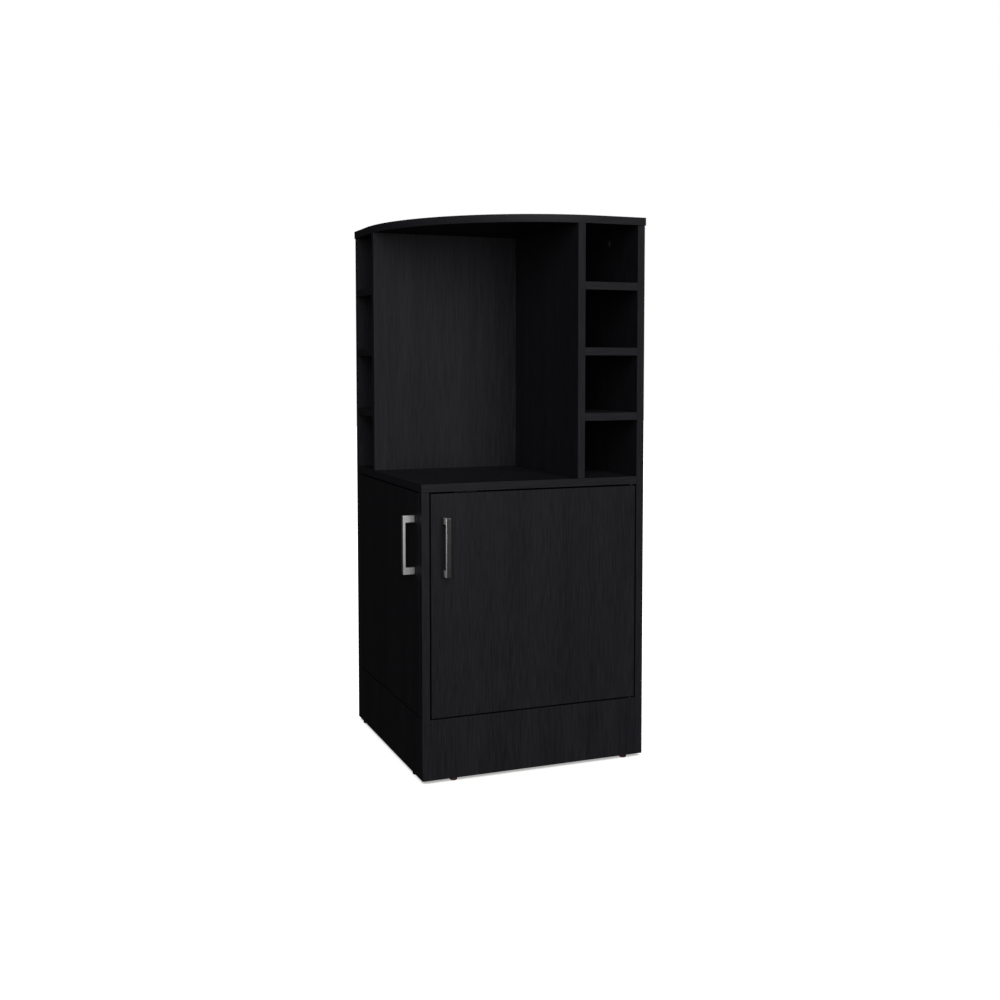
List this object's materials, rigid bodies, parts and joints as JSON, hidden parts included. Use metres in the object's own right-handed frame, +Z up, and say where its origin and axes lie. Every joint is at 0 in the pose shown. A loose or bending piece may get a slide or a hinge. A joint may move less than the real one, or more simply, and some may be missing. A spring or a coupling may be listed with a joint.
{
  "type": "corner bar cabinet",
  "caption": "Square-plan corner cabinet with two inset doors on pivot pins below, an open corner niche and two wings of bottle cubbies above, under a rounded top.",
  "frame": {"origin": "at floor level, under the middle of the whole cabinet with its handles", "axes": "+Z up; the front face looks along -Y and the left face along -X; the right side panel and the back panel stand against the room's walls"},
  "size_m": [0.4746, 0.4746, 1.045],
  "materials": {
    "dark_board": "black wenge decor, fine embossed vertical grain",
    "handle_metal": "satin nickel plate on a zinc casting",
    "zinc_steel": "bright zinc plate",
    "black_steel": "black oxide",
    "cam_zinc": "raw zinc casting",
    "beech_dowel": "bare beech",
    "glide_plastic": "reddish brown moulded plastic",
    "dark_plastic": "moulded nylon",
    "magnet": "ferrite magnet between ground steel pole plates"
  },
  "bodies": {
    "carcase": {"back_panel": "dark_board", "base_panel": "dark_board", "cam_bolts": "zinc_steel", "cam_locks": "cam_zinc", "carcase_screws": "zinc_steel", "catch_cases": "dark_plastic", "catch_magnets": "magnet", "catch_screws": "zinc_steel", "corner_post": "dark_board", "countertop": "dark_board", "dowels": "beech_dowel", "floor_glides": "glide_plastic", "front_plinth": "dark_board", "left_partition": "dark_board", "left_plinth": "dark_board", "left_shelf_1": "dark_board", "left_shelf_2": "dark_board", "left_shelf_3": "dark_board", "pivot_bushes": "dark_plastic", "right_partition": "dark_board", "right_shelf_1": "dark_board", "right_shelf_2": "dark_board", "right_shelf_3": "dark_board", "right_side_panel": "dark_board", "top_panel": "dark_board"},
    "front_door": {"front_door": "dark_board", "front_handle": "handle_metal", "front_handle_screws": "zinc_steel", "front_pivot_pins": "black_steel", "front_strike_plate": "zinc_steel", "front_strike_screws": "zinc_steel"},
    "left_door": {"left_door": "dark_board", "left_handle": "handle_metal", "left_handle_screws": "zinc_steel", "left_pivot_pins": "black_steel", "left_strike_plate": "zinc_steel", "left_strike_screws": "zinc_steel"}
  },
  "joints": [
    {"name": "front_door_hinge", "type": "hinge", "parent": "carcase", "child": "front_door", "pos_m": [0.21175, -0.20825, 0.325], "axis": [0, 0, 1], "range_deg": [0, 105]},
    {"name": "left_door_hinge", "type": "hinge", "parent": "carcase", "child": "left_door", "pos_m": [-0.20825, 0.21175, 0.325], "axis": [0, 0, -1], "range_deg": [0, 105]}
  ]
}
